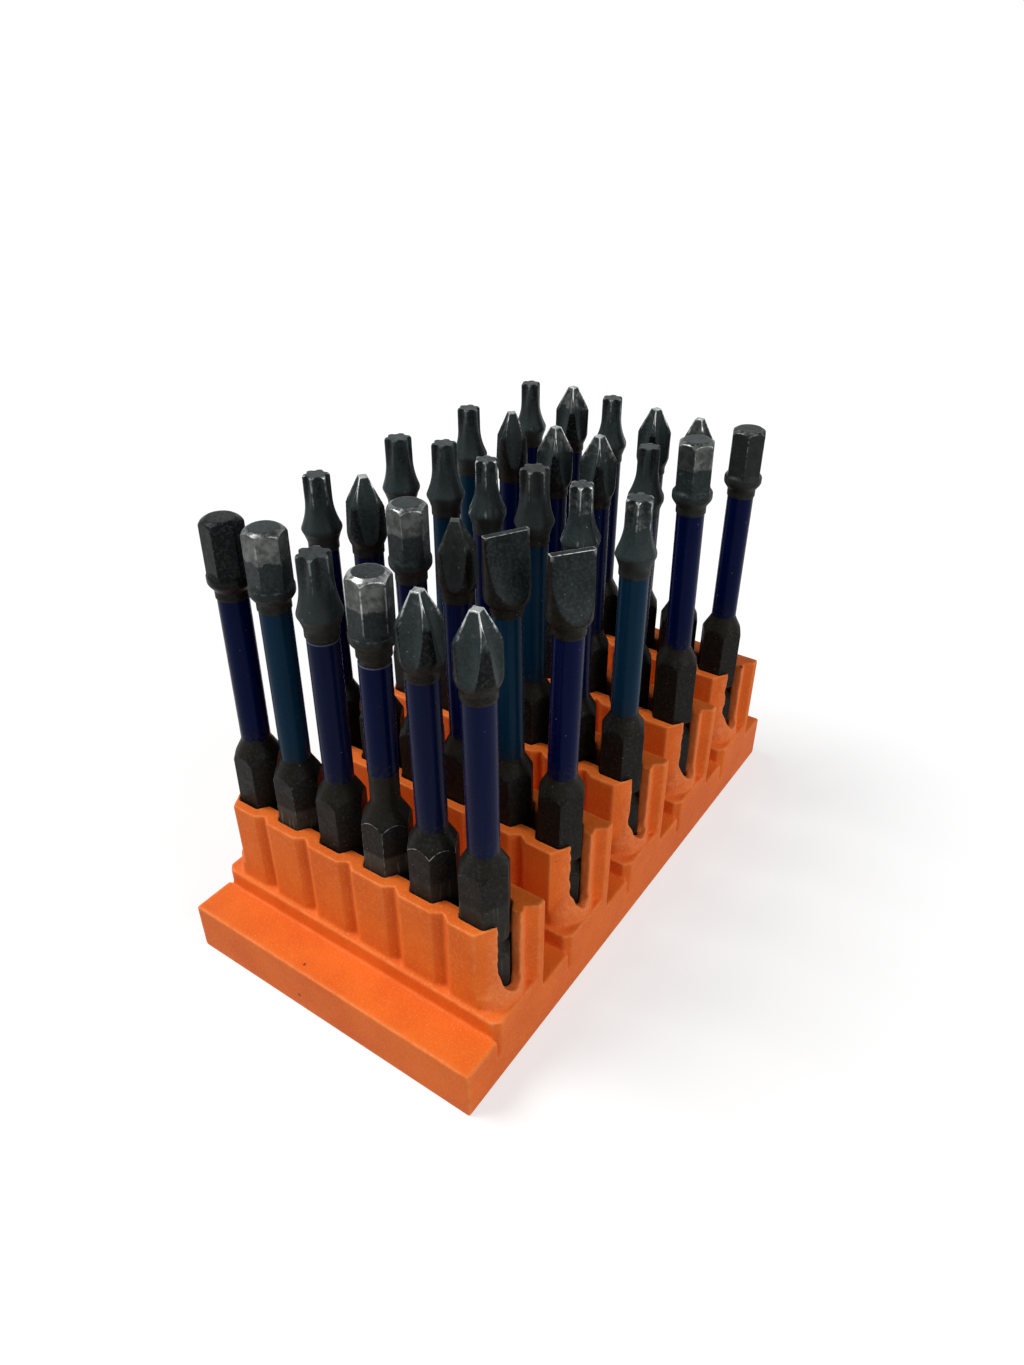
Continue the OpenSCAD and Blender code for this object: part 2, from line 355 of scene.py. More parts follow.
@dataclass(frozen=True)
class SleeveCoat:
    """The glossy coloured coat of a sleeve, chipped at its lower end, with a painted highlight along its top
    rim.
    """

    name: str
    body: Colour
    light: Colour
    steel: Colour = linear(34, 34, 34)
    dust: Colour = linear(120, 128, 150)
    cloud: Speckle = Speckle(1500.0, 2.0, 0.5, 0.35, end=0.35, stretch=0.06)
    chips: Speckle = Speckle(1800.0, 4.0, 0.6, 0.50, 0.53)
    dots: Speckle = Speckle(2100.0, 1.0, 0.3, 0.80, 0.82, end=0.5)
    sheen: Speckle = Speckle(700.0, start=0.22, end=0.30)
    # Painted highlight: how pale the sleeve's top rim is drawn.
    rim_highlight: float = 0.5
    specular: float = 0.05
    relief: tuple[Ripple, ...] = (Ripple(Speckle(500.0, 2.0), 0.03, 0.00008),)

    def material(self) -> bpy.types.Material:
        """Build the material."""
        made = blank(self.name)
        board = Board(made.node_tree)
        colour = board.blend(board.speckle(self.cloud), self.body, self.light)
        worn = board.maths("MULTIPLY", board.stored("edge"), board.speckle(self.chips))
        colour = board.blend(worn, colour, self.steel)
        # Painted highlight: a thin pale line along the top rim, in the dust colour.
        colour = board.blend(board.maths("MULTIPLY", board.stored("rim"), self.rim_highlight), colour, self.dust)
        board.surface(
            Base_Color=board.blend(board.speckle(self.dots), colour, self.dust),
            Roughness=board.speckle(self.sheen),
            Normal=board.relief(self.relief),
            Specular_IOR_Level=self.specular,
        )
        return made


@dataclass(frozen=True)
class Bit:
    """What stands in one socket, in millimetres and degrees.

    Attributes:
        head: The kind of its working end.
        size: The size across that end.
        turn: How far the end is turned.
        extra: How much longer than usual it is.
        right: How far its tip leans to the right.
        back: How far its tip leans to the back.
        sleeve: The colour of its sleeve.
        polish: How far the finish is rubbed off its tip.
        wear: How bright the end's edges are.
        tan: How brown its neck and end are.
        pale: How grey its end is.
        heel: How worn the shank's lower part is.
        shoulder: How bright the edge of the cone is.
        collar: How bright the edge of a hex bit's collar is.
        sleeve_low: The height where the sleeve starts.
        sleeve_drop: How far below the neck it ends.
    """

    head: Head
    size: float
    turn: float
    extra: float
    right: float
    back: float
    sleeve: Sleeve = Sleeve.NAVY
    polish: float = 0.0
    wear: float = 0.5
    tan: float = 0.35
    pale: float = 0.38
    heel: float = 0.0
    shoulder: float = 0.3
    collar: float = 0.4
    sleeve_low: float = 27.0
    sleeve_drop: float = 0.0


BITS: tuple[tuple[Bit, ...], ...] = (
    (
        Bit(Head.HEX, 5.0, -8, 0.0, 0.6, 0.7, wear=0.25, pale=-0.5),
        Bit(
            Head.HEX, 5.0, -8, 0.7, 0.3, 0.6, Sleeve.TEAL,
            polish=0.8, wear=0.7, heel=0.8, shoulder=0.45, collar=0.55,
        ),
        Bit(Head.STAR, 4.5, 2, -0.4, 0.4, 0.4, Sleeve.DUSK, wear=0.5, tan=0.6, sleeve_drop=0.5),
        Bit(
            Head.HEX, 5.0, -8, -0.4, 0.6, 0.5,
            polish=1.0, wear=1.0, tan=0.7, heel=0.9, shoulder=0.72, sleeve_low=32.0, sleeve_drop=0.9,
        ),
        Bit(
            Head.CROSS, 5.7, -32, -0.2, 0.0, -0.1, Sleeve.DUSK,
            polish=0.35, wear=1.0, heel=0.25, shoulder=0.75,
        ),
        Bit(
            Head.CROSS, 5.7, -35, 0.0, -0.2, -0.2, Sleeve.DUSK,
            polish=0.35, wear=1.0, heel=0.3, shoulder=0.5,
        ),
    ),
    (
        Bit(Head.STAR, 3.9, -8, 0.0, 0.1, 0.1, wear=0.7),
        Bit(Head.CROSS, 5.7, 9, 1.4, 0.2, 0.6, wear=0.9, polish=0.1),
        Bit(Head.HEX, 5.0, -8, -0.2, 0.0, -0.1, polish=0.75, wear=0.8),
        Bit(Head.CROSS, 5.7, -16, -0.6, -0.2, -0.3, wear=0.45, tan=0.95, polish=0.36),
        Bit(Head.BLADE, 6.2, 60, -0.3, -0.6, -0.4, Sleeve.TEAL, wear=0.7, tan=0.5, pale=0.28),
        Bit(Head.BLADE, 6.0, 55, -0.5, 0.4, 0.1, wear=0.9, tan=0.5, pale=0.28, shoulder=0.45),
    ),
    (
        Bit(Head.STAR, 4.2, -8, 0.1, -0.2, -0.1, wear=0.4),
        Bit(Head.STAR, 3.9, -8, 0.8, 0.1, 0.3, Sleeve.TEAL, wear=0.4),
        Bit(Head.STAR, 3.5, 1, 0.1, -0.2, -0.1, wear=0.8),
        Bit(Head.STAR, 4.3, -18, 0.5, -0.2, 0.0, Sleeve.TEAL, wear=0.5, tan=0.9),
        Bit(Head.STAR, 3.6, -6, 0.0, -0.6, -0.4, wear=0.8, polish=0.48),
        Bit(Head.STAR, 4.0, -8, 0.0, -0.2, -0.1, Sleeve.TEAL, wear=0.7, polish=0.45),
    ),
    (
        Bit(Head.STAR, 3.8, -8, 0.0, -0.2, -0.2, Sleeve.TEAL, wear=0.5),
        Bit(Head.CROSS, 5.2, 1, 0.7, 0.0, 0.1, wear=0.8, tan=0.8, polish=0.2),
        Bit(Head.CROSS, 5.7, -56, -0.1, 0.1, 0.0, wear=1.0, polish=0.5),
        Bit(Head.CROSS, 5.7, -58, 0.0, -0.2, -0.1, wear=1.0, polish=0.45),
        Bit(Head.STAR, 3.6, -8, 0.0, 0.0, 0.0, wear=0.3),
        Bit(Head.HEX, 5.0, -8, 0.0, -0.9, 0.1, polish=0.68, wear=0.7),
    ),
    (
        Bit(Head.STAR, 3.5, -6, -0.2, 0.0, 0.0, wear=0.5, tan=0.5),
        Bit(Head.CROSS, 5.7, -59, 0.4, 0.4, 0.3, wear=1.0, polish=0.55),
        Bit(Head.STAR, 3.6, -8, 0.0, 0.1, 0.0, wear=0.6, tan=0.3),
        Bit(Head.CROSS, 5.5, -70, -0.4, 0.2, 0.0, wear=1.0, polish=0.4),
        Bit(Head.CROSS, 5.5, -42, -0.6, -0.2, -0.2, wear=1.0, polish=0.45),
        Bit(Head.HEX, 5.0, -8, -0.6, 0.1, -0.1, wear=0.7, tan=1.0, pale=0.5),
    ),
)


@dataclass(frozen=True)
class Stand:
    """Where the sockets are, in millimetres, and the row, place and height of the raised bit."""

    rows: int = 5
    cols: int = 6
    pitch: float = 8.279
    row_pitch: float = 18.05
    axis_from_deck: float = 5.525
    step: float = 6.7
    floor: float = 9.5
    rim: float = 25.8
    length: float = 61.0
    half_width: float = 26.386
    raised: tuple[int, int, float] = (4, 6, 2.5)

    @property
    def depth(self) -> float:
        """The block's size from front to back."""
        return self.rows * self.row_pitch + self.step

    def socket(self, row: int, col: int) -> Vector:
        """Give the middle of a socket's floor, in millimetres."""
        x = (col - (self.cols + 1) / 2) * self.pitch
        y = -self.depth / 2 + self.step + (row - 1) * self.row_pitch + self.axis_from_deck
        return Vector((x, y, self.floor))

    def pose(self, row: int, col: int, bit: Bit, corner: float) -> Matrix:
        """Give the place and the lean of a bit.

        Args:
            row: Its row, counted from the front.
            col: Its place, counted from the left.
            bit: What stands there.
            corner: The radius of the shank's corners, in millimetres.

        Returns:
            The matrix from the bit's own millimetres to the row frame's millimetres.
        """
        middle = (self.rim - self.floor) / 2
        reach = self.length - middle
        seat = corner * math.hypot(bit.right, bit.back) / reach
        lift = self.raised[2] if (row, col) == self.raised[:2] else 0.0
        turn = Euler((-math.atan(bit.back / reach), math.atan(bit.right / reach), 0.0))
        return (
            Matrix.Translation(self.socket(row, col) + Vector((0, 0, seat + lift + middle)))
            @ turn.to_matrix().to_4x4()
            @ Matrix.Translation((0, 0, -middle))
        )


def soft_min(first: Array, second: Array, width: float) -> Array:
    """Take the smaller of two radii and round the crease between them.

    Args:
        first: The first radius.
        second: The second radius.
        width: How far the rounding reaches.

    Returns:
        The rounded radius.
    """
    share = np.clip(0.5 + 0.5 * (second - first) / width, 0.0, 1.0)
    return second * (1.0 - share) + first * share - width * share * (1.0 - share)


def soft_max(first: Array, second: Array, width: float) -> Array:
    """Take the larger of two radii and fill the corner between them."""
    return -soft_min(-first, -second, width)


def rise(value: Array | float, start: Array | float, width: float) -> Array:
    """Let a share grow from 0 at a start to 1 at a width beyond it."""
    return np.clip((value - start) / width, 0.0, 1.0)


def crease(first: Array, second: Array, height: Array, angle: Array, reach: float) -> Array:
    """Say how close each point is to the line where two surfaces meet.

    Args:
        first: The first surface's radius.
        second: The second surface's radius.
        height: The points' heights.
        angle: The points' directions.
        reach: The distance from the line at which the result falls to 0.

    Returns:
        One value for each point, from 0 to 1.
    """
    gap = second - first
    level = np.maximum(np.abs(np.gradient(height[:, 0])), 0.02)[:, None]
    turn = np.maximum(np.abs(np.gradient(angle, axis=1)), 0.005) * np.minimum(first, second)
    steep = np.hypot(np.gradient(gap, axis=0) / level, np.gradient(gap, axis=1) / turn)
    return np.clip(1.0 - np.abs(gap) / (steep * reach + 1e-4), 0.0, 1.0)


def prism(angle: Array, flat: float, crisp: float) -> Array:
    """Give the radius of a hexagon with rounded corners, one of them at angle 0.

    Args:
        angle: The directions.
        flat: The distance from the middle to a flat.
        crisp: How sharp the corners are.

    Returns:
        The radius in each direction.
    """
    faces = np.arange(6) * math.pi / 3 + math.pi / 6
    reach = np.clip(np.cos(angle[..., None] - faces), 0.0, 1.0)
    return flat / (reach**crisp).sum(-1) ** (1.0 / crisp)


def profile(height: Array, points: list[tuple[float, float]], soft: float = 0.12) -> Array:
    """Read a turned profile and round its corners.

    Args:
        height: The heights to read.
        points: The profile's heights and radii, in order.
        soft: How far the rounding reaches.

    Returns:
        The radius at each height.
    """
    marks, radii = zip(*points)
    shifts = np.array([-1.0, -0.5, 0.0, 0.5, 1.0]) * soft
    return np.mean([np.interp(height + shift, marks, radii) for shift in shifts], axis=0)


@dataclass(frozen=True)
class Skin:
    """A surface given by its radius at each height and direction, with what is stored on its points."""

    heights: Array
    angles: Array
    radii: Array
    stored: dict[str, Array]


def lathe(name: str, skin: Skin, pose: Matrix) -> bpy.types.Object:
    """Wrap a grid round an axis and close its ends.

    Args:
        name: The new object's name.
        skin: The surface, in millimetres, one row of points for each ring from the bottom to the top.
        pose: The place of the axis, in millimetres.

    Returns:
        The new object, in metres.
    """
    rings, spokes = skin.radii.shape
    bm = bmesh.new()
    layers = {key: bm.verts.layers.float.new(key) for key in skin.stored}
    grid = bmesh.ops.create_grid(bm, x_segments=spokes, y_segments=rings - 1, size=1.0)["verts"]
    flats = np.array([v.co[:2] for v in grid])
    across = np.rint((flats[:, 0] + 1) / 2 * spokes).astype(int)
    up = np.rint((flats[:, 1] + 1) / 2 * (rings - 1)).astype(int)
    spoke = across % spokes
    angle = skin.angles[up, spoke]
    radius = skin.radii[up, spoke]
    points = np.stack([radius * np.cos(angle), radius * np.sin(angle), skin.heights[up]], axis=1)
    for number, vert in enumerate(grid):
        vert.co = points[number]
    for key, values in skin.stored.items():
        for vert, value in zip(grid, values[up, spoke]):
            vert[layers[key]] = float(value)
    bmesh.ops.remove_doubles(bm, verts=bm.verts, dist=1e-5)
    bmesh.ops.holes_fill(bm, edges=[edge for edge in bm.edges if edge.is_boundary], sides=0)
    bmesh.ops.transform(bm, matrix=Matrix.Scale(MM, 4) @ pose, verts=bm.verts)
    bmesh.ops.recalc_face_normals(bm, faces=bm.faces)
    return finish_mesh(bm, name)


def finish_mesh(bm: bmesh.types.BMesh, name: str, smooth: bool = True) -> bpy.types.Object:
    """Turn a bmesh into an object of the scene.

    Args:
        bm: The mesh, in metres.
        name: The object's name.
        smooth: Whether its faces are shaded smooth.

    Returns:
        The new object.
    """
    mesh = bpy.data.meshes.new(name)
    for face in bm.faces:
        face.smooth = smooth
    bm.to_mesh(mesh)
    bm.free()
    obj = bpy.data.objects.new(name, mesh)
    bpy.context.scene.collection.objects.link(obj)
    return obj


@dataclass(frozen=True)
class Tip:
    """A working end above its turned neck, in millimetres.

    Attributes:
        spec: The bit.
        spokes: The points in each ring.
        fold: The edges round the axis.
        squeeze: How close the points are to those edges.
        lift: How much paler the end is than the bit says.
        hollow_shade: How much painted shade darkens its hollows.
        top_wear: How worn the flat top is beside its rim.
        raw_tan: How brown the skin is that isn't ground.
    """

    spec: Bit
    length: float = 11.0
    neck_r: float = 2.25
    neck_top: float = 1.1
    spokes: int = 132
    fold: int = 6
    squeeze: float = 0.0
    lift: float = 0.0
    hollow_shade: float = 0.0
    top_wear: float = 0.5
    raw_tan: float = 0.15

    @property
    def half(self) -> float:
        """Half the size across the key, the wings or the blade."""
        return self.spec.size / 2

    def turned(self, level: Array, steps: list[tuple[float, float]], soft: float) -> Array:
        """Give the radius of a turned outline that starts with the neck.

        Args:
            level: The heights above the head's base.
            steps: The outline's heights and radii above the neck, in order.
            soft: How far its corners are rounded.

        Returns:
            The radius at each height.
        """
        return profile(level, [(0.0, self.neck_r), (self.neck_top, self.neck_r), *steps], soft)

    def read(self, level: Array, angle: Array) -> Reading:
        """Give the head's radius and its worn edges.

        Args:
            level: The heights above the head's base.
            angle: The directions, from the middle of a lobe, a wing, a corner or the blade's edge.

        Returns:
            The radius, how close each point is to an edge, and how much turned skin is left.
        """
        raise NotImplementedError


@dataclass(frozen=True)
class HexTip(Tip):
    """A hex key with a chamfered top and a collar at its foot."""

    squeeze: float = 0.6
    lift: float = 0.08
    top_wear: float = 0.1
    collar_r: float = 3.0
    chamfer: tuple[tuple[float, float], ...] = ((0.0, -0.95), (0.35, -0.3), (0.9, 0.1), (2.0, 2.0))
    # Painted highlight with wear: how bright the whole chamfer is drawn.
    chamfer_wear_and_highlight: float = 0.62
    depths: tuple[float, ...] = (0.9, 1.2, 3.5, 4.5, 7.0, 7.8)
    ridges: tuple[float, ...] = (0.0, 0.75, 0.7, 0.6, 0.5, 0.0)

    def read(self, level: Array, angle: Array) -> Reading:
        """Give the key's radius and its worn edges, with a painted highlight over the whole chamfer."""
        hexagon = prism(angle, self.half, 70.0)
        corner = self.half * 2 / math.sqrt(3)
        down = self.length - level
        bound = profile(down, [(depth, corner + more) for depth, more in self.chamfer])
        bound = np.broadcast_to(bound, hexagon.shape)
        edge = crease(hexagon, bound, level, angle, 0.2)
        # Painted highlight with wear: the whole chamfer is drawn as bright rubbed steel that catches the
        # light.
        chamfer_wear_and_glint = rise(hexagon, bound, 0.1) * self.chamfer_wear_and_highlight
        ridge = rise(hexagon / corner, 0.962, 0.02) * np.interp(down, self.depths, self.ridges)
        ring = np.interp(level, [2.9, 3.1, 3.3, 3.5], [0.0, 1.0, 1.0, 0.0]) * np.ones_like(hexagon)
        above = soft_min(hexagon, bound, 0.12) * np.interp(level, [2.6, 3.2], [0.0, 1.0])
        radius = soft_max(above, np.broadcast_to(self.collar(level), above.shape), 0.25)
        worn = np.maximum.reduce([edge * 0.9, chamfer_wear_and_glint, ridge, ring * self.spec.collar])
        return radius, worn, np.zeros_like(radius)

    def collar(self, level: Array) -> Array:
        """Give the radius of the collar at the key's foot."""
        wide = self.collar_r
        steps = [(2.0, wide - 0.1), (2.3, wide), (3.2, wide), (3.7, wide - 0.5), (4.6, 1.0)]
        return self.turned(level, steps, 0.12)


@dataclass(frozen=True)
class StarTip(Tip):
    """A key with six round lobes, which run out into a turned skirt."""

    lift: float = 0.42
    # Painted shade: how much darker the lobes' hollows are drawn.
    hollow_shade: float = 2.2
    skirt_r: float = 2.95
    skirt: float = 3.3
    waist: float = 7.4
    valley: float = 0.71
    runout: float = 22.0
    chamfer: float = 0.2
    shine: float = 1.45

    def flare(self, level: Array) -> Array:
        """Give the turned outline of the lobes and the skirt."""
        fall, spread = self.skirt - self.waist, self.skirt_r - self.half
        curve = [(self.waist + fall * t, self.half + spread * t * t) for t in np.linspace(1, 0, 9)]
        steps = [(2.4, 2.68), (2.9, self.skirt_r), *curve, (self.length, self.half)]
        return self.turned(level, steps, 0.2)

    def read(self, level: Array, angle: Array) -> Reading:
        """Give the key's radius and its worn edges."""
        down = np.clip(self.length - level, 0.0, 12.0)
        drift = self.runout - np.sqrt(self.runout**2 - down**2)
        outer = self.flare(level)
        inner = soft_min(self.valley * self.half + drift, outer, 0.25)
        narrow = np.interp(down, [0.0, 4.0, 8.0], [1.45, 1.15, 0.7])
        lobe = (0.5 + 0.5 * np.cos(6 * angle)) ** narrow
        radius = inner + (outer - inner) * lobe
        worn = rise(lobe, 0.8, 0.2) * rise(outer, inner, 0.25)
        worn = worn * np.interp(down, [0.0, 1.0, 3.0, 7.0], [1.0, 0.75, 0.6, 0.45])
        rim = np.broadcast_to(self.half - self.chamfer + down, radius.shape)
        worn = np.maximum(worn, crease(radius, rim, level, angle, 0.2))
        return soft_min(radius, rim, 0.15), np.minimum(worn * self.shine, 1.0), np.zeros_like(radius)


@dataclass(frozen=True)
class CrossTip(Tip):
    """A head of four wings between round flutes, with a blunt point."""

    spokes: int = 180
    fold: int = 4
    squeeze: float = 0.45
    lift: float = 0.24
    top_wear: float = 0.9
    flute: float = 1.9
    root: float = 0.55
    tilt: float = 13.0
    point_r: float = 0.8
    shoulder: float = 4.0

    def read(self, level: Array, angle: Array) -> Reading:
        """Give the wings' radius and their worn edges."""
        half, top = self.half, self.length
        steps = [(2.1, half - 0.15), (2.7, half), (top - self.shoulder, half), (top - 3.4, half - 0.25)]
        steps += [(top - 0.1, self.point_r + 0.1), (top, self.point_r)]
        body = np.broadcast_to(self.turned(level, steps, 0.1), angle.shape)
        down = top - level
        away = self.root + math.tan(math.radians(self.tilt)) * down + self.flute
        side = np.abs((angle % (math.pi / 2)) - math.pi / 4)
        inside = self.flute**2 - (away * np.sin(side)) ** 2
        wall = away * np.cos(side) - np.sqrt(np.clip(inside, 0.0, None))
        wall = np.where(inside > 0, wall, wall + 6.0 * np.sqrt(np.clip(-inside, 0.0, None)))
        edge = crease(body, wall, level, angle, 0.2)
        shown = np.interp(down, [0.0, 1.0, 3.0, 4.5, 10.0], [1.0, 0.95, 0.62, 0.36, 0.3])
        blunt = rise(0.4, down, 0.4) * np.ones_like(edge)
        raw = rise(wall, body, 0.15) * rise(down, 3.2, 0.8)
        return soft_min(body, wall, 0.13), np.maximum(edge * shown, blunt), raw


@dataclass(frozen=True)
class BladeTip(Tip):
    """A flat blade with two hollow-ground faces."""

    fold: int = 2
    squeeze: float = 0.4
    top_wear: float = 0.25
    raw_tan: float = 0.75
    thickness: float = 0.9
    grind: float = 16.0

    def read(self, level: Array, angle: Array) -> Reading:
        """Give the blade's radius and its worn edges."""
        steps = [(1.8, self.half - 0.15), (2.3, self.half), (self.length, self.half)]
        body = np.broadcast_to(self.turned(level, steps, 0.1), angle.shape)
        down = np.clip(self.length - level, 0.0, 12.0)
        thick = self.thickness / 2 + self.grind - np.sqrt(self.grind**2 - down**2)
        face = thick / np.maximum(np.abs(np.sin(angle)), 0.02)
        edge = crease(body, face, level, angle, 0.2)
        shown = np.interp(down, [0.0, 1.5, 5.0, 9.0], [0.8, 0.4, 0.38, 0.5])
        blunt = rise(0.16, down, 0.12) * np.ones_like(edge)
        raw = rise(face, body, 0.12)
        return soft_min(body, face, 0.12), np.maximum(edge * shown, blunt), raw


TIPS: dict[Head, type[Tip]] = {
    Head.HEX: HexTip,
    Head.STAR: StarTip,
    Head.CROSS: CrossTip,
    Head.BLADE: BladeTip,
}


@dataclass
class DriverBit:
    """One long driver bit: its steel and the sleeve on its slim middle, in millimetres."""

    node: str
    spec: Bit
    pose: Matrix
    tip: Tip = field(init=False)
    length: float = 61.0
    shank_flat: float = 3.175
    shank_top: float = 23.7
    cone_top: float = 26.7
    core_r: float = 2.02
    sleeve_r: float = 2.1
    sleeve_spokes: int = 72
    detent_level: float = 11.4
    detent_r: float = 1.6
    detent_floor: float = 2.4
    heel_top: float = 19.0
    plain: tuple[float, float] = (31.0, 33.0)
    shank_tan: float = 0.65
    shank_pale: float = -0.2

    def __post_init__(self) -> None:
        """Choose the head."""
        self.tip = TIPS[self.spec.head](self.spec)

    @property
    def top(self) -> float:
        """The bit's whole length."""
        return self.length + self.spec.extra

    @property
    def head_base(self) -> float:
        """The height where the neck begins."""
        return self.top - self.tip.length

    @property
    def corner(self) -> float:
        """The radius of the shank's corners."""
        return self.shank_flat * 2 / math.sqrt(3)

    def heights(self) -> Array:
        """Give the rings' heights: close together at edges, far apart on plain stretches."""
        end = [0.0, 0.0, 0.05, 0.3, 0.6, 0.8, 1.2, 4.0, 7.0]
        groove = self.detent_level + np.linspace(-2.0, 2.0, 17)
        flats = [16.0, 17.5, 18.4, 19.0, 19.6, 21.0, 22.5]
        cone = [*np.arange(22.9, 25.0, 0.1), *np.arange(25.0, 28.0, 0.24)]
        middle = np.linspace(30.0, self.head_base - 0.8, 6)
        neck = self.head_base + np.array([-0.3, 0.0, 0.3, 0.6, 0.9])
        head = self.head_base + np.arange(1.1, self.tip.length - 0.9, 22.0 / self.tip.spokes)
        rim = self.top - np.array([0.9, 0.75, 0.6, 0.48, 0.38, 0.28, 0.2, 0.13, 0.07, 0.03, 0.0])
        return np.concatenate([end, groove, flats, cone, middle, neck, head, rim])

    def directions(self, heights: Array) -> Array:
        """Give each ring's directions, turned with the head above the sleeve and closer at the edges.

        Args:
            heights: The rings' heights.

        Returns:
            One row of angles for each ring, from 0 at the shank's corner.
        """
        fold, squeeze = self.tip.fold, self.tip.squeeze
        around = np.arange(self.tip.spokes) * 2 * math.pi / self.tip.spokes
        upper = around - squeeze * np.sin(fold * around) / fold
        lower = around - 0.6 * np.sin(6 * around) / 6
        start, margin = self.plain
        share = rise(heights, start, self.head_base - margin)[:, None]
        return lower * (1 - share) + (upper + math.radians(self.spec.turn)) * share

    def shank(self, height: Array, angle: Array) -> tuple[Array, Array]:
        """Give the shank's radius and its worn edges.

        Args:
            height: The heights.
            angle: The directions.

        Returns:
            The radius, and how close each point is to an edge.
        """
        hexagon = prism(angle, self.shank_flat, 130.0)
        slope = (self.corner - self.sleeve_r) / (self.cone_top - self.shank_top)
        cone = np.broadcast_to(self.sleeve_r + (self.cone_top - height) * slope, hexagon.shape)
        shoulder = crease(hexagon, cone, height, angle, 0.14)
        end = np.broadcast_to(self.shank_flat - 0.2 + height, hexagon.shape)
        radius = soft_min(soft_min(hexagon, cone, 0.1), end, 0.2)
        level = np.clip(self.detent_r**2 - (height - self.detent_level) ** 2, 0.0, None)
        groove = np.where(level > 0, self.detent_floor + self.detent_r - np.sqrt(level), 9.0)
        radius = soft_min(radius, np.broadcast_to(groove, hexagon.shape), 0.12)
        lip = np.clip(1.0 - np.abs(groove - hexagon) / 0.3, 0.0, 1.0)
        ridge = rise(hexagon / self.corner, 0.965, 0.035) * (radius > hexagon - 0.05)
        wear = [shoulder * self.spec.shoulder, lip * 0.4, ridge * (0.12 + 0.5 * self.spec.heel)]
        return soft_max(radius, np.full_like(radius, self.core_r), 0.4), np.maximum.reduce(wear)

    def steel(self) -> bpy.types.Object:
        """Build the steel from its end to its tip."""
        spec, tip = self.spec, self.tip
        heights = self.heights()
        angles = self.directions(heights)
        level = heights[:, None]
        lower, lower_edge = self.shank(level, angles)
        upper, upper_edge, raw = tip.read(level - self.head_base, angles - math.radians(spec.turn))
        head = level >= self.head_base - 0.01
        radius = np.where(head, upper, lower)
        full = np.ones_like(radius)
        raw = np.where(head, raw, 0.0)
        shank = ~head & (radius > self.shank_flat - 0.05)
        down = self.top - level
        hollow = 1.0 - radius / radius.max(axis=1, keepdims=True)
        # Painted shade: the end is drawn darker the deeper a point lies in the head's hollows.
        pale = spec.pale + tip.lift - tip.hollow_shade * hollow - 0.8 * raw
        neck_tan = np.interp(down, [0.0, 7.6, 8.6, 10.0, 12.0], [0.0, 0.0, 0.7, 1.0, 1.0])
        tan = np.maximum(neck_tan * min(1.0, spec.tan + 0.35), np.where(head, spec.tan**2 * 0.55, 0.0))
        stored = {
            "edge": np.where(head, upper_edge * spec.wear, lower_edge),
            "polish": spec.polish * np.interp(down, [0.0, 0.3, 3.6, 4.6], [0.4, 1.0, 1.0, 0.0]) * full,
            "tan": np.maximum(np.where(shank, self.shank_tan, tan), raw * tip.raw_tan),
            "pale": np.where(head, pale, np.where(shank, self.shank_pale, 0.0)),
            "heel": spec.heel * np.interp(level, [self.heel_top, self.heel_top + 0.5], [0.9, 0.0]) * full,
        }
        skin = self.capped(Skin(heights, angles, radius, stored))
        return lathe(self.node.replace("_bit_", "_steel_"), skin, self.pose)

    def capped(self, skin: Skin) -> Skin:
        """Add rings that close the two ends."""
        shares = np.array([0.88, 0.6, 0.3, 0.0])[:, None]
        count = len(shares)

        def grown(values: Array) -> Array:
            """Repeat the end rings' values."""
            return np.concatenate([np.repeat(values[:1], count, 0), values, np.repeat(values[-1:], count, 0)])

        stored = {key: grown(values) for key, values in skin.stored.items()}
        for values in (stored["edge"], stored["polish"]):
            values[-count:] *= self.tip.top_wear
        radii = np.concatenate([skin.radii[:1] * shares[::-1], skin.radii, skin.radii[-1:] * shares])
        return Skin(grown(skin.heights), grown(skin.angles), radii, stored)

    def sleeve(self) -> bpy.types.Object:
        """Build the thin coloured sleeve on the slim middle."""
        low, high = self.spec.sleeve_low, self.head_base - self.spec.sleeve_drop
        foot = low + np.array([0.0, 0.0, 0.06, 0.2])
        rim = high - np.array([0.22, 0.1, 0.04, 0.0, 0.0])
        heights = np.concatenate([foot, np.linspace(low + 1, high - 1, 9), rim])
        around = np.arange(self.sleeve_spokes)[None] * 2 * math.pi / self.sleeve_spokes
        angles = np.repeat(around, len(heights), 0)
        radii = np.full(angles.shape, self.sleeve_r)
        radii[[0, -1]] = self.core_r - 0.05
        radii[[1, -2]] = self.sleeve_r - 0.04
        level = heights[:, None] * np.ones_like(radii)
        stored = {
            "edge": np.interp(level, [low, low + 1.2, low + 2.2], [1.0, 0.5, 0.0]),
            # The rim share places the painted highlight on the top edge.
            "rim": np.interp(level, [high - 0.2, high - 0.08], [0.0, 1.0]),
        }
        skin = Skin(heights, angles, radii, stored)
        return lathe(self.node.replace("_bit_", "_sleeve_"), skin, self.pose)


